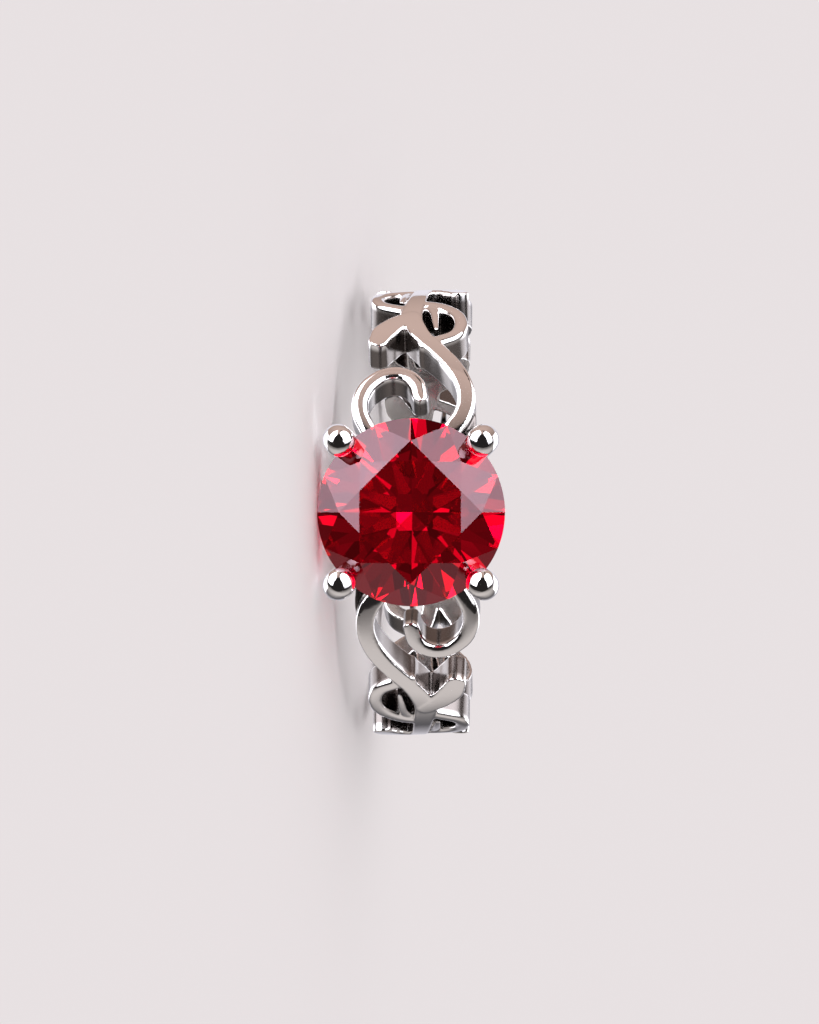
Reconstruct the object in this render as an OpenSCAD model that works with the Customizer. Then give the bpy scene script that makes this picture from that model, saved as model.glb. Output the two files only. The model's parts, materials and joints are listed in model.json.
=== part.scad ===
// Engagement ring: a round ruby held by four claws on an openwork band of vine scrolls.
// The ring lies on its side. The finger axis is upright but for a small lean, the stone points to -Y,
// and the stone's edge and the back of the band rest on z = 0, with the origin under the middle.

/* [Finger ring] */
// Inside diameter of the band, where the finger goes
finger_d = 16.9; // [15:0.1:20]
// Thickness of the band from the finger hole to the crown of its wires
band_t = 1.4; // [1.2:0.05:1.7]
// How far the sides of a wire stay below its crown
dome_h = 0.25; // [0.1:0.05:0.35]
// Width of the plain plate at the back of the band
plate_w = 4; // [3.6:0.1:4.6]

/* [Stone] */
// Diameter of the round stone at its girdle
stone_d = 8; // [7.6:0.1:8.2]
// Height of the girdle above the middle of the finger hole
girdle_rise = 14; // [13.8:0.1:14.5]
// Width of the table across its corners, as a share of the stone
table_share = 0.584; // [0.5:0.01:0.65]
// Where the star facets end, as a share of the stone
star_share = 0.76; // [0.7:0.01:0.8]
// Where the lower girdle facets end, as a share of the stone
seam_share = 0.22; // [0.15:0.01:0.3]
// Slope of the crown's main facets in degrees
crown_slope = 34.5; // [32:0.5:36]
// Slope of the pavilion's main facets in degrees
pavilion_slope = 40.8; // [40:0.2:42]
// Thickness of the girdle
girdle_t = 0.2; // [0.1:0.05:0.3]

/* [Setting] */
// Free space between the stone and its claws, as a share of the stone
seat_play = 0.02; // [0.01:0.005:0.03]
// Inside radius of the collar that carries the claws
collar_r = 1.7; // [1.5:0.05:1.9]
// Radius of the rail that ties the claws together under the stone
rail_r = 3.3; // [3.2:0.05:3.4]
// Thickness of that rail
rail_t = 0.7; // [0.5:0.05:0.8]

/* [Hidden] */

$fn = 96;
finger_r = finger_d / 2;
crown_r = finger_r + band_t;
// The plate at the back stands a little proud of the vine.
plate_r = crown_r + 0.05;
wall_r = plate_r - dome_h;
// Wires and plain pieces start inside the finger hole, at radii of their own, and are bored out with it.
deep_r = finger_r - 0.25;
core_r = finger_r - 0.45;
stone_r = stone_d / 2;

// The stone's edge and the edge of the plate lie on the surface together, which sets the lean.
edge_w = girdle_rise - girdle_t / 2;
lean = atan((stone_r - plate_w / 2) / (edge_w + wall_r));
rest_drop = stone_r * cos(lean) - edge_w * sin(lean);
crown_h = (stone_r - table_share * stone_r) * tan(crown_slope);
top_w = girdle_rise + girdle_t / 2 + crown_h;
front_y = -top_w * cos(lean) - table_share * stone_r * cos(22.5) * sin(lean);
back_y = plate_r * cos(lean) + (plate_w / 2 - 2 * dome_h) * sin(lean);

// Columns of the vine's tables: degrees from the stone, mm across the band, half of the width.
AT = 0;
ACROSS = 1;
HALF = 2;

// The stem winds from the head to the plate at the back.
STEM = [
    [12, -0.9, 0.42], [18, -1.25, 0.42], [22, -1.65, 0.42], [26, -2.05, 0.41],
    [31, -2.19, 0.4], [36, -2, 0.39], [41, -1.57, 0.39], [46, -0.96, 0.39],
    [51, -0.31, 0.4], [56, 0.1, 0.46], [61, 0.32, 0.52], [67, 0.22, 0.45],
    [75, 0.08, 0.4], [84, -0.05, 0.36], [92, -0.2, 0.4], [100, 0.05, 0.36],
    [108, 0.25, 0.4], [116, 0.1, 0.36], [123, 0, 0.36], [131, -0.1, 0.36],
    [139, -0.25, 0.4], [147, 0.05, 0.36], [156, 0.25, 0.4], [164, 0.1, 0.4],
    [172, 0, 0.4]
];
// The open scroll beside the stone ends in a round tip.
SHOULDER_SCROLL = [
    [12, 1, 0.38], [18, 1.6, 0.38], [22, 2.05, 0.37], [27, 2.39, 0.37],
    [32, 2.3, 0.37], [36, 1.85, 0.36], [38.4, 1.15, 0.34], [38, 0.5, 0.36],
    [35.4, 0, 0.38], [31.4, -0.2, 0.36]
];
// A low rib carries on beside the stem, under the stone.
SHOULDER_RIB = [[12, -2.1, 0.22], [20, -2.36, 0.22], [28, -2.4, 0.2], [33, -2.2, 0.2]];
// A scroll leaves the stem, keeps to the band's edge and turns in to the stem again.
SCROLL = [
    [3.2, 0.35, 0.34], [5, 1.05, 0.33], [7.2, 1.62, 0.32], [10.5, 1.85, 0.31], [14, 1.84, 0.31],
    [17.5, 1.66, 0.32], [20.8, 1.25, 0.34], [23.5, 0.65, 0.36], [24.5, 0, 0.34]
];
// A thin tendril inside each scroll points back along the stem.
TENDRIL = [[22, 0.55, 0.26], [18.5, 0.68, 0.2], [14, 0.74, 0.16], [10, 0.8, 0.1]];
// A leaf grows from the stem back towards the stone.
LEAF = [[0, 0.35, 0.4], [-3.5, 0.95, 0.52], [-7.5, 1.45, 0.57], [-11, 1.68, 0.46]];
// Where they start, with +1 or -1 for the side of the band.
SCROLL_STARTS = [[46, -1], [62.5, 1], [94, -1], [110.5, 1], [141.5, -1]];
LEAF_ROOTS = [[61, 1], [92, -1], [108, 1], [139, -1], [155, 1]];
// The band grows narrower from this angle on, by this share of its width for each degree.
taper_from = 85;
taper = 0.0016;

// Half angles of the plain pieces at the back and under the head
plate_half = 14;
saddle_half = 17;
saddle_r = crown_r - 0.5;
saddle_w = 4.6;
corner_r = 1;
low_r = crown_r - 0.45;

// The collar stands on the saddle, and the rail lies halfway up the claws.
collar_t = 0.75;
collar_top = crown_r + 0.5;
collar_foot = crown_r - 0.9;
rail_w = girdle_rise - 1.9;
// Columns of the claw's table: distance from the stone's axis, height from the finger hole, radius.
OUT = 0;
UP = 1;
THICK = 2;
CLAW = [
    [2.2, collar_foot, 0.5], [2.35, collar_top - 0.1, 0.52], [2.9, girdle_rise - 2.6, 0.55],
    [3.65, girdle_rise - 1.3, 0.6], [4.2, girdle_rise - 0.45, 0.65], [4.38, girdle_rise + 0.05, 0.66],
    [4.34, girdle_rise + 0.45, 0.66], [4.22, girdle_rise + 0.7, 0.65]
];
claw_sides = 12;
claw_dome = 0.45;
claw_lean_in = 0.2;

// A smooth curve through the rows of a table, with the same number of steps between rows
function between(a, b, c, d, t) =
    (2 * b + (c - a) * t + (2 * a - 5 * b + 4 * c - d) * t * t + (3 * b - a - 3 * c + d) * t * t * t) / 2;
function curve(rows, steps) = [
    for (i = [0:len(rows) - 2])
        for (k = [0:steps - 1])
            between(rows[max(i - 1, 0)], rows[i], rows[i + 1], rows[min(i + 2, len(rows) - 1)], k / steps),
    rows[len(rows) - 1]
];

// A flat place on the unrolled band, and its point on the band at a radius
function unrolled(row) = [row[AT] * PI / 180 * crown_r, row[ACROSS]];
function wrapped(flat, r) =
    let (angle = flat[0] / crown_r * 180 / PI)
    [r * sin(angle), -r * cos(angle), flat[1]];
function unit(v) = v / norm(v);

// Both ends of a wire are rounded off in three steps.
ROUND_OFF = [[0.95, 0.35], [0.7, 0.72], [0.3, 0.95]];
function rounded(rows) =
    let (
        n = len(rows),
        a = rows[0],
        b = rows[n - 1],
        a_out = unit(unrolled(a) - unrolled(rows[1])) * a[HALF],
        b_out = unit(unrolled(b) - unrolled(rows[n - 2])) * b[HALF]
    )
    concat(
        [for (s = ROUND_OFF) [unrolled(a) + a_out * s[0], a[HALF] * s[1]]],
        [for (row = rows) [unrolled(row), row[HALF]]],
        [for (i = [2:-1:0]) [unrolled(b) + b_out * ROUND_OFF[i][0], b[HALF] * ROUND_OFF[i][1]]]
    );

// A row of rings with the same number of points becomes one closed skin.
module skin(rings) {
    m = len(rings[0]);
    n = len(rings);
    polyhedron(
        points = [for (ring = rings) each ring],
        faces = concat(
            [[for (j = [0:m - 1]) j]],
            [
                for (i = [0:n - 2])
                    for (j = [0:m - 1])
                        let (a = i * m + j, b = i * m + (j + 1) % m)
                        each [[a, a + m, b + m], [a, b + m, b]]
            ],
            [[for (j = [m - 1:-1:0]) (n - 1) * m + j]]
        )
    );
}

// A wire of the band: upright sides and a crowned top, laid round the finger hole
module wire(rows, top_r, steps) {
    side_r = top_r - dome_h;
    path = rounded(curve(rows, steps));
    n = len(path);
    skin([
        for (i = [0:n - 1])
            let (
                way = unit(path[min(i + 1, n - 1)][0] - path[max(i - 1, 0)][0]),
                out = [-way[1], way[0]] * path[i][1]
            )
            [
                for (p = [[-1, deep_r], [1, deep_r], [1, side_r], [0.5, top_r], [-0.5, top_r], [-1, side_r]])
                    wrapped(path[i][0] + out * p[0], p[1])
            ]
    ]);
}

// The rows of a table moved along the band and turned to one of its sides
function placed(rows, at, side) =
    let (narrow = 1 - taper * max(0, at - taper_from))
    [for (row = rows) [row[AT] + at, row[ACROSS] * side * narrow, row[HALF]]];

module vine() {
    wire(STEM, crown_r, 2);
    wire(SHOULDER_SCROLL, crown_r, 3);
    wire(SHOULDER_RIB, low_r, 2);
    for (s = SCROLL_STARTS) {
        wire(placed(SCROLL, s[0], s[1]), crown_r - 0.05, 2);
        wire(placed(TENDRIL, s[0], s[1]), crown_r - 0.12, 1);
    }
    for (s = LEAF_ROOTS) wire(placed(LEAF, s[0], s[1]), crown_r + 0.02, 2);
}

// The corners of a rectangle, each rounded in four steps
function round_corners(long, wide) = [
    for (corner = [[1, 1, 0], [-1, 1, 90], [-1, -1, 180], [1, -1, 270]])
        for (step = [0:4])
            [
                corner[0] * (long / 2 - corner_r) + corner_r * cos(corner[2] + 22.5 * step),
                corner[1] * (wide / 2 - corner_r) + corner_r * sin(corner[2] + 22.5 * step)
            ]
];

// A stretch of plain band with rounded corners, centred on an angle from the stone
module plain_band(at, half, width, top_r) {
    side = width / 2;
    flat = side - 2 * dome_h;
    intersection() {
        rotate([0, 0, at - 95 - half])
            rotate_extrude(angle = 2 * half + 10)
                polygon([
                    [core_r, -side], [top_r - dome_h, -side], [top_r, -flat],
                    [top_r, flat], [top_r - dome_h, side], [core_r, side]
                ]);
        rotate([0, 0, at])
            rotate([90, 0, 0])
                linear_extrude(height = 2 * top_r)
                    polygon(round_corners(2 * top_r * sin(half), width));
    }
}

// Turns a shape made along +Z, with its foot at the finger's axis, to stand on the stone's axis
module on_stone_axis() {
    rotate([90, 0, 0]) children();
}

module claw() {
    body = curve(CLAW, 2);
    tip = body[len(body) - 1];
    rows = concat(body, [
        for (share = [0.45, 0.8, 0.97])
            [tip[OUT] - claw_lean_in * share, tip[UP] + claw_dome * share, tip[THICK] * sqrt(1 - share * share)]
    ]);
    n = len(rows);
    skin([
        for (i = [0:n - 1])
            let (
                way = unit([for (c = [OUT, UP]) rows[min(i + 1, n - 1)][c] - rows[max(i - 1, 0)][c]]),
                across = [way[1], -way[0]]
            )
            [
                for (j = [0:claw_sides - 1])
                    let (
                        turn = 360 * (j + 0.5) / claw_sides,
                        side = cos(turn) * rows[i][THICK]
                    )
                    [
                        rows[i][OUT] + across[0] * side,
                        sin(turn) * rows[i][THICK],
                        rows[i][UP] + across[1] * side
                    ]
            ]
    ]);
}

module head() {
    rotate_extrude()
        polygon([
            [collar_r, collar_foot], [collar_r + collar_t, collar_foot],
            [collar_r + collar_t + 0.1, collar_top], [collar_r + 0.1, collar_top]
        ]);
    rotate_extrude()
        translate([rail_r, rail_w])
            polygon([for (k = [0:7]) rail_t / 2 / cos(22.5) * [cos(22.5 + 45 * k), sin(22.5 + 45 * k)]]);
    for (quarter = [0:3]) rotate([0, 0, 45 + 90 * quarter]) claw();
}

// The round cut, with the middle of the girdle at the origin: its facets run past the girdle to rings
// just above and below the middle, and the block is then trimmed to a round girdle.
RIM = 0.01;
girdle_h = girdle_t / 2;
star_r = star_share * stone_r;
star_h = girdle_h + (stone_r - star_r * cos(22.5)) * tan(crown_slope);
seam_r = seam_share * stone_r;
seam_h = girdle_h + (stone_r - seam_r * cos(22.5)) * tan(pavilion_slope);
culet_h = girdle_h + stone_r * tan(pavilion_slope);
over_r = stone_r + (girdle_h - RIM) * (stone_r - star_r) / (star_h - girdle_h);
under_r = stone_r + (girdle_h - RIM) * (stone_r - seam_r) / (seam_h - girdle_h);

function round_points(r, z, n, first) = [
    for (k = [0:n - 1]) [r * cos(first + 360 / n * k), r * sin(first + 360 / n * k), z]
];
CUT_POINTS = concat(
    round_points(table_share * stone_r, girdle_h + crown_h, 8, 22.5),
    round_points(star_r, star_h, 8, 0),
    round_points(stone_r, girdle_h, 8, 22.5),
    round_points(over_r, RIM, 16, 0),
    round_points(under_r, -RIM, 16, 0),
    round_points(stone_r, -girdle_h, 8, 22.5),
    round_points(seam_r, -seam_h, 8, 0),
    [[0, 0, -culet_h]]
);
// The first point of each ring in that list
TABLE = 0;
STAR = 8;
CROWN_END = 16;
OVER = 24;
UNDER = 40;
PAVILION_END = 56;
SEAM = 64;
CULET = 72;

module brilliant() {
    eight = [0:7];
    intersection() {
        polyhedron(
            points = CUT_POINTS,
            faces = concat(
                [[for (k = [7:-1:0]) TABLE + k]],
                [for (k = eight) [STAR + k, TABLE + (k + 7) % 8, TABLE + k]],
                [for (k = eight) [TABLE + k, STAR + (k + 1) % 8, CROWN_END + k, STAR + k]],
                [for (k = eight) [STAR + k, CROWN_END + k, OVER + 2 * k + 1, OVER + 2 * k]],
                [
                    for (k = eight)
                        [STAR + k, OVER + 2 * k, OVER + (2 * k + 15) % 16, CROWN_END + (k + 7) % 8]
                ],
                [for (k = [0:15]) [OVER + k, OVER + (k + 1) % 16, UNDER + (k + 1) % 16, UNDER + k]],
                [for (k = eight) [SEAM + k, UNDER + 2 * k, UNDER + 2 * k + 1, PAVILION_END + k]],
                [
                    for (k = eight)
                        [SEAM + k, PAVILION_END + (k + 7) % 8, UNDER + (2 * k + 15) % 16, UNDER + 2 * k]
                ],
                [for (k = eight) [CULET, SEAM + k, PAVILION_END + k, SEAM + (k + 1) % 8]]
            )
        );
        translate([0, 0, -culet_h]) cylinder(r = stone_r, h = culet_h + girdle_h + crown_h);
    }
}

// Lays the upright-built ring on its side, at rest on the surface
module at_rest() {
    translate([0, -(front_y + back_y) / 2, rest_drop])
        rotate([-lean, 0, 0])
            children();
}

module setting() {
    color([0.8, 0.77, 0.76])
        at_rest()
            difference() {
                union() {
                    for (turn = [0, 180]) rotate([0, turn, 0]) vine();
                    plain_band(180, plate_half, plate_w, plate_r);
                    plain_band(0, saddle_half, saddle_w, saddle_r);
                    on_stone_axis() head();
                }
                translate([0, 0, -stone_r]) cylinder(r = finger_r, h = stone_d);
                on_stone_axis() cylinder(r = collar_r, h = girdle_rise);
                on_stone_axis() translate([0, 0, girdle_rise]) scale(1 + seat_play) brilliant();
            }
}

module ruby() {
    color([0.6, 0.02, 0.1])
        at_rest()
            on_stone_axis()
                translate([0, 0, girdle_rise]) brilliant();
}

setting();
ruby();
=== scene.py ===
import json
import math

import bpy
from mathutils import Matrix, Vector


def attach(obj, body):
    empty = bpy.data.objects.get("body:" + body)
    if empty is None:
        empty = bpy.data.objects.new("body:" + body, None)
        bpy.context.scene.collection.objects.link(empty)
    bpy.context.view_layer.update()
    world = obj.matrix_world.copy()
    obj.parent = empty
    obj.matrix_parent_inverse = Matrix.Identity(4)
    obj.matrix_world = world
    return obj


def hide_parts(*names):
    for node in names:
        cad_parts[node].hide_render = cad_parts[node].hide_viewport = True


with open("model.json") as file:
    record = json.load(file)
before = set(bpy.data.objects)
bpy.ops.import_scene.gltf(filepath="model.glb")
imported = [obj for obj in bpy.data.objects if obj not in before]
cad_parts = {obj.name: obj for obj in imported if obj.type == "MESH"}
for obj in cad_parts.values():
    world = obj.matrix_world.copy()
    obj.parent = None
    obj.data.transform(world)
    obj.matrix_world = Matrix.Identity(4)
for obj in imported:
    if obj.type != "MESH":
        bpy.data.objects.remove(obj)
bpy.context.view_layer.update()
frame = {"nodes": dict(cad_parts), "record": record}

# The band is cast in white gold as one openwork vine: a stem that winds round the finger, with scrolls,
# tendrils and leaves beside it, a plain saddle under the stone and a plain sizing plate at the back. It is
# laid out flat here as half of a strip, then bent round the finger, doubled, fused and polished.
mm = 0.001
finger = frame["record"]["mounts"][0]
finger_r = finger["dims"]["r_mm"] * mm
band_t = 1.4 * mm
crown_r = finger_r + band_t

# Each row of a wire: degrees from the stone, mm across the band, half of the wire's width in mm.
stem = (
    (13.5, -0.98, 0.42), (18, -1.25, 0.42), (22, -1.65, 0.42), (26, -2.05, 0.41), (31, -2.19, 0.4),
    (36, -2, 0.39), (41, -1.57, 0.39), (46, -0.96, 0.39), (51, -0.31, 0.4), (56, 0.1, 0.46),
    (61, 0.32, 0.52), (67, 0.22, 0.45), (75, 0.08, 0.4), (84, -0.05, 0.36), (92, -0.2, 0.4),
    (100, 0.05, 0.36), (108, 0.25, 0.4), (116, 0.1, 0.36), (123, 0, 0.36), (131, -0.1, 0.36),
    (139, -0.25, 0.4), (147, 0.05, 0.36), (156, 0.25, 0.4), (164, 0.1, 0.4), (172, 0, 0.4),
)
shoulder_scroll = (
    (13.5, 1.14, 0.38), (18, 1.6, 0.38), (22, 2.05, 0.37), (27, 2.39, 0.37), (32, 2.3, 0.37),
    (36, 1.85, 0.36), (38.4, 1.15, 0.34), (38, 0.5, 0.36), (35.4, 0, 0.38), (31.4, -0.2, 0.36),
)
shoulder_rib = ((12, -2.1, 0.22), (20, -2.36, 0.22), (28, -2.4, 0.2), (33, -2.2, 0.2))
scroll = (
    (3.2, 0.35, 0.34), (5, 1.05, 0.33), (7.2, 1.62, 0.32), (10.5, 1.85, 0.31), (14, 1.84, 0.31),
    (17.5, 1.66, 0.32), (20.8, 1.25, 0.34), (23.5, 0.65, 0.36), (24.5, 0, 0.34),
)
tendril = ((22, 0.55, 0.26), (18.5, 0.68, 0.2), (14, 0.74, 0.16), (10, 0.8, 0.1))
leaf = ((0, 0.35, 0.4), (-3.5, 0.95, 0.52), (-7.5, 1.45, 0.57), (-11, 1.68, 0.46))
# Where scrolls and leaves start, in degrees from the stone, with +1 or -1 for the side of the band.
scroll_starts = ((46, -1), (62.5, 1), (94, -1), (110.5, 1), (141.5, -1))
leaf_roots = ((61, 1), (92, -1), (108, 1), (139, -1), (155, 1))
# How many mm the crowns of the other wires stay below the stem's; the leaves' stand a little over it.
rib_drop = 0.45
scroll_drop = 0.05
tendril_drop = 0.12
leaf_drop = -0.02
# The band keeps its full width up to this angle from the stone, then loses this share of it each degree.
full_width_end = 85
narrowing = 0.0016


def narrowed(angle):
    """The band's share of its full width, which shrinks towards the back."""
    return 1 - narrowing * max(0, angle - full_width_end)


def along(angle):
    """The place on the flat strip of an angle from the stone."""
    return math.radians(angle) * crown_r


# How deep the sides of a wire's section go, in shares of its half width
section_depth = 9


def start_wires(name, dome, roundness):
    """Starts a set of wires whose section is a dome on upright sides, in shares of a wire's half width.

    A roundness of 1 makes the dome half an ellipse, and less makes it flatter with sharper edges.
    """
    bpy.ops.object.select_all(action="DESELECT")
    bpy.ops.curve.primitive_bezier_circle_add(radius=mm)
    section = bpy.context.object
    section.data.dimensions = "2D"
    section.data.splines.clear()
    outline = section.data.splines.new("POLY")
    outline.use_cyclic_u = True
    top = []
    for degrees in range(0, 181, 15):
        across = abs(math.cos(math.radians(degrees))) ** roundness
        below = dome * (1 - math.sin(math.radians(degrees)))
        top.append((math.copysign(across, 90 - degrees), -below))
    corners = [(1, -section_depth), *top, (-1, -section_depth)]
    outline.points.add(len(corners) - 1)
    for point, (x, y) in zip(outline.points, corners):
        point.co = (x * mm, y * mm, 0, 1)
    bpy.ops.curve.primitive_bezier_curve_add()
    wires = bpy.context.object
    wires.name = name
    wires.data.splines.clear()
    wires.data.twist_mode = "Z_UP"
    wires.data.bevel_mode = "OBJECT"
    wires.data.bevel_object = section
    wires.data.use_fill_caps = True
    wires.data.resolution_u = 12
    return wires


# How a wire's end rounds off: how far out and how wide, in shares of its half width
rounding = ((0.96, 0.3), (0.87, 0.5), (0.7, 0.72), (0.4, 0.92))


def lay_wire(wires, rows, drop=0.0, at=0.0, side=1):
    """Lays a wire on the strip, its crown drop mm below the stem's, moved along and turned to a side."""
    across = side * narrowed(at)
    places = [Vector((along(angle + at), x * across * mm, -drop * mm)) for angle, x, _ in rows]
    halves = [half for _, _, half in rows]
    out_a = (places[0] - places[1]).normalized() * halves[0] * mm
    out_b = (places[-1] - places[-2]).normalized() * halves[-1] * mm
    line = [(places[0] + out_a * out, halves[0] * wide) for out, wide in rounding]
    line += zip(places, halves)
    line += [(places[-1] + out_b * out, halves[-1] * wide) for out, wide in reversed(rounding)]
    spline = wires.data.splines.new("BEZIER")
    spline.radius_interpolation = "LINEAR"
    spline.bezier_points.add(len(line) - 1)
    for point, (place, half) in zip(spline.bezier_points, line):
        point.co = place
        point.radius = half
        point.handle_left_type = point.handle_right_type = "AUTO"


# The stem, the leaves and the rib are flat on top, and the scrolls and tendrils are rounder.
vine = start_wires("vine", dome=0.3, roundness=0.25)
scrollwork = start_wires("scrollwork", dome=0.6, roundness=0.6)
lay_wire(vine, stem)
lay_wire(scrollwork, shoulder_scroll)
lay_wire(vine, shoulder_rib, rib_drop)
for at, side in scroll_starts:
    lay_wire(scrollwork, scroll, scroll_drop, at, side)
    lay_wire(scrollwork, tendril, tendril_drop, at, side)
for at, side in leaf_roots:
    lay_wire(vine, leaf, leaf_drop, at, side)


def take(*pieces):
    """Selects these pieces alone, the first one active."""
    bpy.ops.object.select_all(action="DESELECT")
    for piece in pieces:
        piece.select_set(True)
    bpy.context.view_layer.objects.active = pieces[0]


def apply_modifier(piece, kind, **settings):
    """Puts a modifier on a piece and applies it."""
    take(piece)
    modifier = piece.modifiers.new(kind, kind)
    for name, value in settings.items():
        setattr(modifier, name, value)
    bpy.ops.object.modifier_apply(modifier=modifier.name)


def settle():
    """Puts the selected piece's place, turn and size into its mesh."""
    bpy.ops.object.transform_apply(location=True, rotation=True, scale=True)


# The wires' undersides are filed flat to the finger hole.
for wires in (vine, scrollwork):
    section = wires.data.bevel_object
    take(wires)
    bpy.ops.object.convert(target="MESH")
    bpy.data.objects.remove(section)
    for vert in wires.data.vertices:
        vert.co.z = max(vert.co.z, -band_t)

# How round a plain bar's upright corners and its other edges are, how much lower its top is at the sides,
# and how many strips it is cut into across the band
corner_r = 1 * mm
edge_r = 0.25 * mm
crown_drop = 0.2 * mm
strips_across = 12


def lay_bar(name, first, last, width, top):
    """Lays a plain bar on the strip from one angle to another, with rounded edges and cuts to bend at."""
    length = along(last) - along(first)
    middle = (along(first) + along(last)) / 2
    height = top + band_t
    bpy.ops.mesh.primitive_cube_add(size=1, location=(middle, 0, top - height / 2))
    bar = bpy.context.object
    bar.name = name
    bar.scale = (length, width, height)
    settle()
    # The four upright corners are rounded first, then all edges.
    take(bar)
    bpy.ops.object.mode_set(mode="EDIT")
    bpy.ops.mesh.select_mode(type="EDGE")
    bpy.ops.mesh.select_all(action="DESELECT")
    bpy.ops.object.mode_set(mode="OBJECT")
    for edge in bar.data.edges:
        start, end = (bar.data.vertices[i].co for i in edge.vertices)
        edge.select = abs(start.z - end.z) > height / 2
    bpy.ops.object.mode_set(mode="EDIT")
    bpy.ops.mesh.bevel(offset=corner_r, segments=10, affect="EDGES")
    bpy.ops.object.mode_set(mode="OBJECT")
    apply_modifier(bar, "BEVEL", width=edge_r, segments=4, angle_limit=math.radians(50))
    take(bar)
    bpy.ops.object.mode_set(mode="EDIT")
    for angle in range(math.ceil(first), math.floor(last)):
        bpy.ops.mesh.select_all(action="SELECT")
        bpy.ops.mesh.bisect(plane_co=(along(angle), 0, 0), plane_no=(1, 0, 0))
    for strip in range(1 - strips_across // 2, strips_across // 2):
        bpy.ops.mesh.select_all(action="SELECT")
        bpy.ops.mesh.bisect(plane_co=(0, width / strips_across * strip, 0), plane_no=(0, 1, 0))
    bpy.ops.object.mode_set(mode="OBJECT")
    # The top is crowned across the band.
    for vert in bar.data.vertices:
        if vert.co.z > top - height / 2:
            vert.co.z -= crown_drop * (vert.co.y / (width / 2)) ** 2
    return bar


# Both plain pieces lie across the middle, and the second half of the band brings them again, turned round.
saddle_end = 17
saddle_w = 4.6 * mm
saddle_top = -0.5 * mm
plate_end = 14
plate_w = 4 * mm
plate_top = 0.05 * mm
saddle = lay_bar("saddle", -saddle_end, saddle_end, saddle_w, saddle_top)
plate = lay_bar("plate", 180 - plate_end, 180 + plate_end, plate_w, plate_top)

# The saddle is drilled under the stone to let light in. The drill is spread so that the bend rounds its hole.
light_hole_r = 1.7 * mm
drill_length = 2 * mm
drill_rise = -0.8 * mm
bpy.ops.object.select_all(action="DESELECT")
bpy.ops.mesh.primitive_cylinder_add(
    vertices=64, radius=light_hole_r, depth=drill_length, location=(0, 0, drill_rise)
)
drill = bpy.context.object
settle()
for vert in drill.data.vertices:
    vert.co.x = crown_r * math.asin(vert.co.x / (crown_r + vert.co.z))
apply_modifier(saddle, "BOOLEAN", operation="DIFFERENCE", object=drill, solver="EXACT")
bpy.data.objects.remove(drill)
take(vine, scrollwork, saddle, plate)
bpy.ops.object.join()

# The strip stands on its edge and is bent round the finger.
vine.rotation_euler = (math.radians(90), 0, 0)
settle()
strip_length = vine.dimensions.x
apply_modifier(vine, "SIMPLE_DEFORM", deform_method="BEND", deform_axis="Z", angle=strip_length / crown_r)
vine.location = (0, -crown_r, 0)
settle()

# The second half is the first one turned half round the stone's axis.
take(vine)
bpy.ops.object.duplicate()
second = bpy.context.object
second.rotation_euler = (0, math.pi, 0)
settle()
take(vine, second)
bpy.ops.object.join()
band = bpy.context.object
band.name = band.data.name = "band"


def fuse(piece, grain, strokes, most_triangles):
    """Fuses a piece's overlapping shells into one skin, polishes it with strokes and thins its mesh."""
    take(piece)
    piece.data.remesh_voxel_size = grain
    bpy.ops.object.voxel_remesh()
    apply_modifier(piece, "SMOOTH", factor=0.5, iterations=strokes)
    triangles = sum(len(face.vertices) - 2 for face in piece.data.polygons)
    apply_modifier(piece, "DECIMATE", ratio=min(1, most_triangles / triangles))
    take(piece)
    bpy.ops.object.shade_smooth()


fuse(band, grain=0.06 * mm, strokes=6, most_triangles=198000)

# The head is soldered to the saddle: a collar, a rail round it halfway up, and claws whose round tips are
# pushed over the edge of the stone. It is the same white gold, and a jeweller cuts the claws' seats to the
# stone. It is made upright here, then laid towards the stone.
girdle_rise = 14 * mm
collar_r = light_hole_r
collar_t = 0.75 * mm
collar_flare = 0.1 * mm
collar_edge_r = 0.12 * mm
collar_foot = crown_r - 0.9 * mm
collar_top = crown_r + 0.5 * mm
rail_r = 3.3 * mm
rail_t = 0.7 * mm
rail_rise = girdle_rise - 1.9 * mm

bpy.ops.object.select_all(action="DESELECT")
bpy.ops.mesh.primitive_cone_add(
    vertices=96,
    radius1=collar_r + collar_t,
    radius2=collar_r + collar_t + collar_flare,
    depth=collar_top - collar_foot,
    end_fill_type="NOTHING",
    location=(0, 0, (collar_top + collar_foot) / 2),
)
collar = bpy.context.object
settle()
apply_modifier(collar, "SOLIDIFY", thickness=collar_t, offset=-1)
apply_modifier(collar, "BEVEL", width=collar_edge_r, segments=3, angle_limit=math.radians(60))
bpy.ops.mesh.primitive_torus_add(
    major_segments=96,
    minor_segments=24,
    major_radius=rail_r,
    minor_radius=rail_t / 2,
    location=(0, 0, rail_rise),
)
rail = bpy.context.object
settle()

# Each row of a claw: distance from the stone's axis, height from the finger's axis, radius.
claw_rows = [
    (2.2 * mm, collar_foot, 0.5 * mm),
    (2.35 * mm, collar_top - 0.1 * mm, 0.52 * mm),
    (2.9 * mm, girdle_rise - 2.6 * mm, 0.55 * mm),
    (3.65 * mm, girdle_rise - 1.3 * mm, 0.6 * mm),
    (4.2 * mm, girdle_rise - 0.45 * mm, 0.65 * mm),
    (4.38 * mm, girdle_rise + 0.05 * mm, 0.66 * mm),
    (4.34 * mm, girdle_rise + 0.45 * mm, 0.66 * mm),
    (4.22 * mm, girdle_rise + 0.7 * mm, 0.65 * mm),
]
# The tip is domed and leans in over the stone.
tip_rise = 0.45 * mm
tip_lean = 0.2 * mm
neck_out, neck_rise, neck_r = claw_rows[-1]
for degrees in (15, 30, 45, 60, 75, 85, 89):
    share = math.sin(math.radians(degrees))
    tip_r = neck_r * math.cos(math.radians(degrees))
    claw_rows.append((neck_out - tip_lean * share, neck_rise + tip_rise * share, tip_r))


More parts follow.
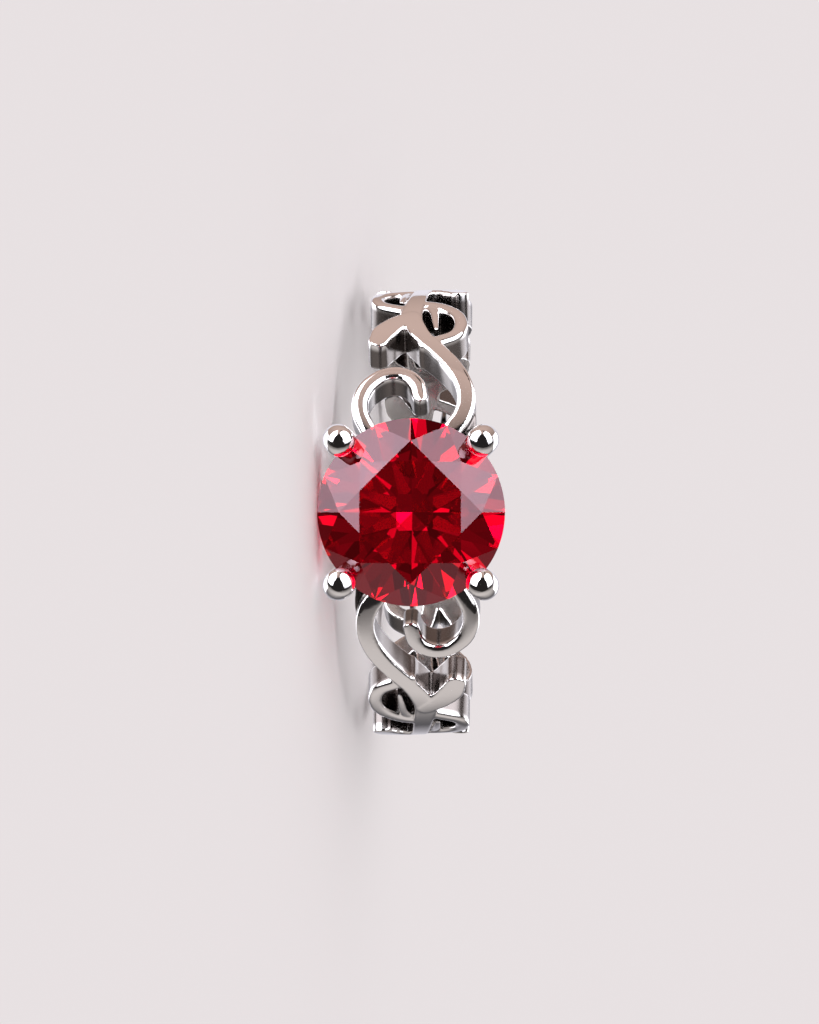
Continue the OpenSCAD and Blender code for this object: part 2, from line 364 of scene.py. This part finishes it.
def shape_claw(degrees):
    """Draws a claw as one tapering wire, turned round the stone's axis."""
    bpy.ops.curve.primitive_bezier_curve_add()
    claw = bpy.context.object
    claw.data.splines.clear()
    claw.data.bevel_depth = mm
    claw.data.bevel_resolution = 10
    claw.data.use_fill_caps = True
    claw.data.resolution_u = 6
    spline = claw.data.splines.new("BEZIER")
    spline.radius_interpolation = "LINEAR"
    spline.bezier_points.add(len(claw_rows) - 1)
    for point, (out, rise, radius) in zip(spline.bezier_points, claw_rows):
        point.co = (out, 0, rise)
        point.radius = radius / mm
        point.handle_left_type = point.handle_right_type = "AUTO"
    take(claw)
    bpy.ops.object.convert(target="MESH")
    claw = bpy.context.object
    claw.rotation_euler = (0, 0, math.radians(degrees))
    settle()
    return claw


claws = [shape_claw(degrees) for degrees in (45, 135, 225, 315)]
take(collar, rail, *claws)
bpy.ops.object.join()
head = bpy.context.object
head.name = head.data.name = "head"
head.rotation_euler = (math.radians(90), 0, 0)
settle()
fuse(head, grain=0.05 * mm, strokes=8, most_triangles=150000)

# Both pieces are laid on their side with the lean at which the ring rests, as the frame gives it.
ring_centre = Vector(finger["pos_m"])
finger_axis = Vector(finger["axis"]).normalized()
stone_axis = Vector((1, 0, 0)).cross(finger_axis)
girdle = ring_centre + stone_axis * girdle_rise
lean = math.atan2(finger_axis.y, finger_axis.z)
for piece in (band, head):
    take(piece)
    piece.rotation_euler = (-lean, 0, 0)
    piece.location = ring_centre
    settle()
    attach(piece, "root")
    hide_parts("setting")

# The seats: a copy of the stone, a little larger, is cut out of the claws.
seat_play = 0.012
ruby = frame["nodes"]["ruby"]
take(ruby)
bpy.ops.object.duplicate()
cutter = bpy.context.object
cutter.name = "seat cutter"
for key in list(cutter.keys()):
    del cutter[key]
bpy.ops.object.mode_set(mode="EDIT")
bpy.ops.mesh.select_all(action="SELECT")
bpy.ops.mesh.remove_doubles(threshold=0.0005 * mm)
bpy.ops.object.mode_set(mode="OBJECT")
cutter.data.transform(Matrix.Translation(-girdle))
cutter.data.transform(Matrix.Scale(1 + seat_play, 4))
cutter.data.transform(Matrix.Translation(girdle))
apply_modifier(head, "BOOLEAN", operation="DIFFERENCE", object=cutter, solver="EXACT")
bpy.data.objects.remove(cutter)
take(head)
bpy.ops.object.shade_smooth_by_angle(angle=math.radians(40))

# Polished white gold: fine hairlines left by the buffing wheel, faint smudges and a few small pits. Recesses
# that the wheel didn't reach are less smooth, and their colour is painted darker as shade.
bright_gold = (0.88, 0.865, 0.86, 1)
smudged_gold = (0.8, 0.775, 0.765, 1)
# The dark colour that recesses are painted towards, as shade
recess_shade_gold = (0.15, 0.134, 0.128, 1)
recess_roughness = 0.16
bump_height = 0.002 * mm
polish_and_shade = bpy.data.node_groups.new("Polish and shade", "ShaderNodeTree")
for name, value in (("Hairlines", 1.0), ("Smudges", 1.0), ("Pits", 1.0), ("Shaded recess", 0.0)):
    socket = polish_and_shade.interface.new_socket(name, in_out="INPUT", socket_type="NodeSocketFloat")
    socket.default_value = value
for name, kind in (("Colour", "Color"), ("Roughness", "Float"), ("Normal", "Vector")):
    polish_and_shade.interface.new_socket(name, in_out="OUTPUT", socket_type="NodeSocket" + kind)


def add_node(tree, kind, inputs=None, **settings):
    """Adds a node to a tree, sets it, and links or fills its inputs by name or number."""
    node = tree.nodes.new(kind)
    for name, value in settings.items():
        setattr(node, name, value)
    for name, value in (inputs or {}).items():
        if isinstance(value, bpy.types.NodeSocket):
            tree.links.new(value, node.inputs[name])
        else:
            node.inputs[name].default_value = value
    return node


def calc(tree, operation, *values):
    """The result of a calculation with two or three values."""
    return add_node(tree, "ShaderNodeMath", dict(enumerate(values)), operation=operation).outputs[0]


def ramp(tree, value, start, end, low=0.0, high=1.0, **settings):
    """A value's share of the way from start to end, put between low and high and held at both."""
    limits = {"Value": value, "From Min": start, "From Max": end, "To Min": low, "To Max": high}
    return add_node(tree, "ShaderNodeMapRange", limits, **settings).outputs[0]


def blend(tree, share, first, second):
    """A colour that goes from the first to the second by a share."""
    mix = add_node(tree, "ShaderNodeMix", {"Factor": share, 6: first, 7: second}, data_type="RGBA")
    return mix.outputs[2]


given = add_node(polish_and_shade, "NodeGroupInput").outputs
place = add_node(polish_and_shade, "ShaderNodeTexCoord").outputs["Object"]
smudge_look = {"Vector": place, "Scale": 420.0, "Detail": 4.0, "Roughness": 0.6}
smudge = add_node(polish_and_shade, "ShaderNodeTexNoise", smudge_look).outputs[0]
stretched = add_node(polish_and_shade, "ShaderNodeMapping", {"Vector": place, "Scale": (9000.0, 9000.0, 500.0)})
hairline_look = {"Vector": stretched.outputs[0], "Scale": 1.0, "Detail": 2.0}
hairline = add_node(polish_and_shade, "ShaderNodeTexNoise", hairline_look).outputs[0]
pit_cells = add_node(polish_and_shade, "ShaderNodeTexVoronoi", {"Vector": place, "Scale": 1100.0}, feature="F1")
pit = ramp(polish_and_shade, pit_cells.outputs["Distance"], 0.05, 0.12, 1.0, 0.0)
roughness = ramp(polish_and_shade, calc(polish_and_shade, "MULTIPLY", smudge, given["Smudges"]), 0.3, 0.8, 0.045, 0.13)
hairline_height = calc(polish_and_shade, "MULTIPLY", hairline, given["Hairlines"])
pit_depth = calc(polish_and_shade, "MULTIPLY", pit, given["Pits"])
height = calc(polish_and_shade, "SUBTRACT", hairline_height, pit_depth)
bump = add_node(polish_and_shade, "ShaderNodeBump", {"Height": height, "Strength": 0.25, "Distance": bump_height})
polished = blend(polish_and_shade, smudge, bright_gold, smudged_gold)
shown = {
    # The recess mask paints shade: in recesses the colour goes dark towards the recess colour.
    "Colour": blend(polish_and_shade, given["Shaded recess"], polished, recess_shade_gold),
    "Roughness": calc(polish_and_shade, "MULTIPLY_ADD", given["Shaded recess"], recess_roughness, roughness),
    "Normal": bump.outputs[0],
}
add_node(polish_and_shade, "NodeGroupOutput", shown)

# The finger hole is polished too, though less than the crowns, and keeps this share of a recess's painted
# shade.
hole_dark = 0.45
hole_polish_start = finger_r + 0.12 * mm
hole_polish_end = finger_r + 0.03 * mm


def white_gold(name, hairlines, smudges, pits, bright_r, dark_r):
    """A polished white gold, bright further from the finger's axis than bright_r and painted dark as shade
    below dark_r.
    """
    material = bpy.data.materials.new(name)
    material.use_nodes = True
    tree = material.node_tree
    shader = tree.nodes["Principled BSDF"]
    shader.inputs["Metallic"].default_value = 1
    place = add_node(tree, "ShaderNodeTexCoord").outputs["Object"]
    offset = add_node(tree, "ShaderNodeVectorMath", {0: place, 1: ring_centre}, operation="SUBTRACT")
    off_axis = add_node(
        tree, "ShaderNodeVectorMath", {0: offset.outputs[0], 1: finger_axis}, operation="CROSS_PRODUCT"
    )
    length = add_node(tree, "ShaderNodeVectorMath", {0: off_axis.outputs[0]}, operation="LENGTH")
    reach = length.outputs["Value"]
    # Painted shade: the colour darkens towards the finger's axis, in the band's recesses and round the head's
    # collar and lower claws.
    shaded_recess = ramp(tree, reach, dark_r, bright_r, 1.0, 0.0, interpolation_type="SMOOTHSTEP")
    hole_share = ramp(tree, reach, hole_polish_end, hole_polish_start, hole_dark, 1.0)
    wear_and_shade = {
        "Hairlines": hairlines,
        "Smudges": smudges,
        "Pits": pits,
        "Shaded recess": calc(tree, "MULTIPLY", shaded_recess, hole_share),
    }
    worn_and_shaded = add_node(tree, "ShaderNodeGroup", wear_and_shade, node_tree=polish_and_shade)
    tree.links.new(worn_and_shaded.outputs["Colour"], shader.inputs["Base Color"])
    tree.links.new(worn_and_shaded.outputs["Roughness"], shader.inputs["Roughness"])
    tree.links.new(worn_and_shaded.outputs["Normal"], shader.inputs["Normal"])
    return material


band_gold = white_gold(
    "band gold", hairlines=1.0, smudges=1.0, pits=0.6, bright_r=crown_r - 0.1 * mm, dark_r=crown_r - 0.45 * mm
)
head_gold = white_gold(
    "head gold", hairlines=0.6, smudges=0.9, pits=1.0, bright_r=girdle_rise - 2 * mm, dark_r=crown_r
)
for piece, gold in ((band, band_gold), (head, head_gold)):
    piece.data.materials.clear()
    piece.data.materials.append(gold)

# The ruby is a round cut stone, 8 mm across, polished flat on every facet. Its red comes from the depth of
# stone that the light goes through, with faint silk inside, and what its facets mirror is tinted pink.
clear_stone = (0.97, 0.006, 0.14, 1)
silky_stone = (0.92, 0.004, 0.11, 1)
ruby_red = bpy.data.materials.new("ruby red")
ruby_red.use_nodes = True
ruby_tree = ruby_red.node_tree
shader = ruby_tree.nodes["Principled BSDF"]
shader.inputs["Transmission Weight"].default_value = 1
shader.inputs["IOR"].default_value = 1.77
shader.inputs["Roughness"].default_value = 0.0
shader.inputs["Specular Tint"].default_value = (1, 0.7, 0.8, 1)
stone_place = add_node(ruby_tree, "ShaderNodeTexCoord").outputs["Object"]
silk = add_node(ruby_tree, "ShaderNodeTexNoise", {"Vector": stone_place, "Scale": 260.0, "Detail": 3.0})
stone_tint = blend(ruby_tree, silk.outputs[0], clear_stone, silky_stone)
ruby_tree.links.new(stone_tint, shader.inputs["Base Color"])
depth_look = {"Color": (0.965, 0.0, 0.45, 1), "Density": 400.0}
depth_red = add_node(ruby_tree, "ShaderNodeVolumeAbsorption", depth_look)
ruby_tree.links.new(depth_red.outputs[0], ruby_tree.nodes["Material Output"].inputs["Volume"])
for slot in ruby.material_slots:
    slot.material = ruby_red

# The camera keeps the photo's angle to the ring: along the stone's axis but for two degrees, with the
# finger's axis to the right of the picture.
turn = math.radians(2)
camera_right = finger_axis * math.cos(turn) - stone_axis * math.sin(turn)
camera_back = finger_axis * math.sin(turn) + stone_axis * math.cos(turn)
camera_up = Vector((-1, 0, 0))
camera_reach = 330 * mm
# The small shift puts the stone where the photo has it.
shift = camera_up * 0.013 * mm - camera_right * 0.068 * mm
picture_height = 1024
focal_pixels = 7755
bpy.ops.object.select_all(action="DESELECT")
bpy.ops.object.camera_add()
camera = bpy.context.object
camera_place = girdle + camera_back * camera_reach + shift
camera_turn = Matrix((camera_right, camera_up, camera_back)).transposed().to_4x4()
camera.matrix_world = Matrix.Translation(camera_place) @ camera_turn
camera.data.sensor_width = 36
camera.data.lens = focal_pixels / picture_height * camera.data.sensor_width
camera.data.clip_start = 10 * mm
camera.data.clip_end = 20
bpy.context.scene.camera = camera

# The plain pale floor that the ring lies on is matt. The metal and the stone don't mirror it, because they
# see the studio instead.
floor_size = 8
bpy.ops.mesh.primitive_plane_add(size=floor_size)
floor = bpy.context.object
floor.name = "floor"
floor.visible_glossy = False
floor.visible_transmission = False
pale = bpy.data.materials.new("pale floor")
pale.use_nodes = True
shader = pale.node_tree.nodes["Principled BSDF"]
shader.inputs["Base Color"].default_value = (0.83, 0.79, 0.8, 1)
shader.inputs["Roughness"].default_value = 0.9
shader.inputs["Specular IOR Level"].default_value = 0.0
floor.data.materials.append(pale)

# The studio. The floor is lit by an even white dome. What shines sees a dark room with two white lamps that
# lean together above the camera, two small ones behind the ring, a warm wall over the ring and in the gap
# between the lamps, and a pale table that rises behind the ring. Light that comes through the stone has a
# window and some spots of its own.
world = bpy.data.worlds.new("studio")
bpy.context.scene.world = world
world.use_nodes = True
world.cycles.sampling_method = "NONE"
sky = world.node_tree
sky.nodes.clear()
ray = add_node(sky, "ShaderNodeTexCoord").outputs["Generated"]


def direction(off, turn):
    """A direction by its degrees off the camera and its degrees round from the camera's right towards up."""
    off, turn = math.radians(off), math.radians(turn)
    return (
        camera_back * math.cos(off)
        + camera_right * math.sin(off) * math.cos(turn)
        + camera_up * math.sin(off) * math.sin(turn)
    )


def share_along(axis):
    """The share of a ray that points along an axis."""
    return add_node(sky, "ShaderNodeVectorMath", {0: ray, 1: axis}, operation="DOT_PRODUCT").outputs["Value"]


def side_of(normal, start=0.0, soft=0.01):
    """A mask that is 1 where a ray's share along a normal is over the start."""
    return ramp(sky, share_along(normal), start - soft, start + soft, interpolation_type="SMOOTHSTEP")


def panel(*corners):
    """A mask that is 1 inside a panel, by its corners' directions in anticlockwise order."""
    mask = 1.0
    for first, second in zip(corners, corners[1:] + corners[:1]):
        edge = side_of(direction(*first).cross(direction(*second)).normalized())
        mask = calc(sky, "MULTIPLY", mask, edge)
    return mask


def glow(centre, spread, edge, middle):
    """A brightness that falls from the middle's value at a direction to the edge's at a spread in degrees."""
    return ramp(sky, share_along(direction(*centre)), math.cos(math.radians(spread)), 1.0, edge, middle)


def scaled(colour, amount):
    """A colour made brighter or darker by an amount."""
    return add_node(sky, "ShaderNodeVectorMath", {0: colour, "Scale": amount}, operation="SCALE").outputs[0]


def dimmed(colour, centre, spread, least):
    """A colour that falls from its full value at a direction to the least share at a spread in degrees."""
    return scaled(colour, glow(centre, spread, least, 1.0))


lamp_white = (1, 1, 1.06)


def lamp_light(mask, brightness):
    """A lamp's light, black outside its mask."""
    return scaled(lamp_white, calc(sky, "MULTIPLY", mask, brightness))


# Most of the wall is over and behind the ring. Its low part fills the gap between the lamps, with a dark
# corner beside it.
dark_room = (0.02, 0.018, 0.018, 1)
warm_wall = (0.66, 0.485, 0.425)
wall = dimmed(warm_wall, (110, 90), spread=75, least=0.12)
look = blend(sky, side_of(direction(160, 90), 0.06, 0.015), dark_room, wall)
low_wall = dimmed(warm_wall, (85, 85), spread=45, least=0.35)
look = blend(sky, panel((44, 83), (66, 81), (77, 84), (80, 101), (44, 104)), look, low_wall)
look = blend(sky, panel((77, 76), (87, 76), (87, 85), (77, 85)), look, dark_room)

# The table is dark at its near edge and pale beyond it, and paler still where it rises.
edge_colour = (0.2, 0.185, 0.18, 1)
table_colour = (0.68, 0.635, 0.62)
risen_colour = (0.9, 0.87, 0.95)
down_back = -direction(45, 90)
table = calc(sky, "MULTIPLY", side_of(down_back, 0.1, 0.02), side_of(-direction(63, 90)))
near_table = dimmed(table_colour, (100, -90), spread=110, least=0.3)
far_table = dimmed(risen_colour, (155, 90), spread=60, least=0.12)
look = blend(sky, table, look, edge_colour)
look = blend(sky, calc(sky, "MULTIPLY", table, side_of(down_back, 0.3, 0.2)), look, near_table)
look = blend(sky, calc(sky, "MULTIPLY", table, side_of(-camera_back, 0.55, 0.3)), look, far_table)

# The lamps are brightest in their middles.
left_panel = panel((44, 193), (47, 103), (68, 100), (90, 99), (94, 172))
right_panel = panel((45, -34), (85, -2), (92, 50), (88, 68), (68, 78), (48, 82))
back_left_panel = panel((112, 200), (108, 150), (140, 140), (150, 215))
back_right_panel = panel((112, -25), (150, -40), (140, 35), (108, 25))
for mask, brightness in (
    (left_panel, glow((55, 140), spread=50, edge=1.4, middle=6.2)),
    (right_panel, glow((55, 38), spread=45, edge=1.15, middle=5.6)),
    (back_left_panel, glow((128, 175), spread=40, edge=0.8, middle=2.6)),
    (back_right_panel, glow((128, 0), spread=40, edge=0.8, middle=2.6)),
):
    lamp = lamp_light(mask, brightness)
    look = add_node(sky, "ShaderNodeVectorMath", {0: look, 1: lamp}, operation="ADD").outputs[0]

# What light through the stone sees: soft clouds, small bright spots, and a window up and to the right.
soft_light = add_node(sky, "ShaderNodeTexNoise", {"Vector": ray, "Scale": 2.2, "Detail": 1.0}).outputs[0]
soft_share = ramp(sky, soft_light, 0.35, 0.65, 0.06, 0.22)
spot_cells = add_node(sky, "ShaderNodeTexVoronoi", {"Vector": ray, "Scale": 4.5})
spot_share = ramp(sky, spot_cells.outputs["Distance"], 0.1, 0.16, 1.4, 0.0)
sparkle = calc(sky, "ADD", soft_share, spot_share)
window = panel((17, 0), (46, -4), (56, 45), (48, 92), (17, 90))
window_light = glow((40, 45), spread=40, edge=0.4, middle=1.2)
through = calc(sky, "MULTIPLY_ADD", window, window_light, sparkle)

path = add_node(sky, "ShaderNodeLightPath").outputs
shiny = calc(sky, "MAXIMUM", path["Is Glossy Ray"], path["Is Transmission Ray"])
inside_share = calc(sky, "MULTIPLY", path["Is Transmission Ray"], through)
even = add_node(sky, "ShaderNodeBackground", {"Color": (1, 0.985, 0.985, 1), "Strength": 0.97}).outputs[0]
studio = add_node(sky, "ShaderNodeBackground", {"Color": look, "Strength": 1.0}).outputs[0]
inside = add_node(sky, "ShaderNodeBackground", {"Color": (1, 1, 1, 1), "Strength": inside_share}).outputs[0]
either = add_node(sky, "ShaderNodeMixShader", {0: shiny, 1: even, 2: studio}).outputs[0]
total = add_node(sky, "ShaderNodeAddShader", {0: either, 1: inside}).outputs[0]
add_node(sky, "ShaderNodeOutputWorld", {"Surface": total})
bpy.context.scene.view_settings.view_transform = "Standard"
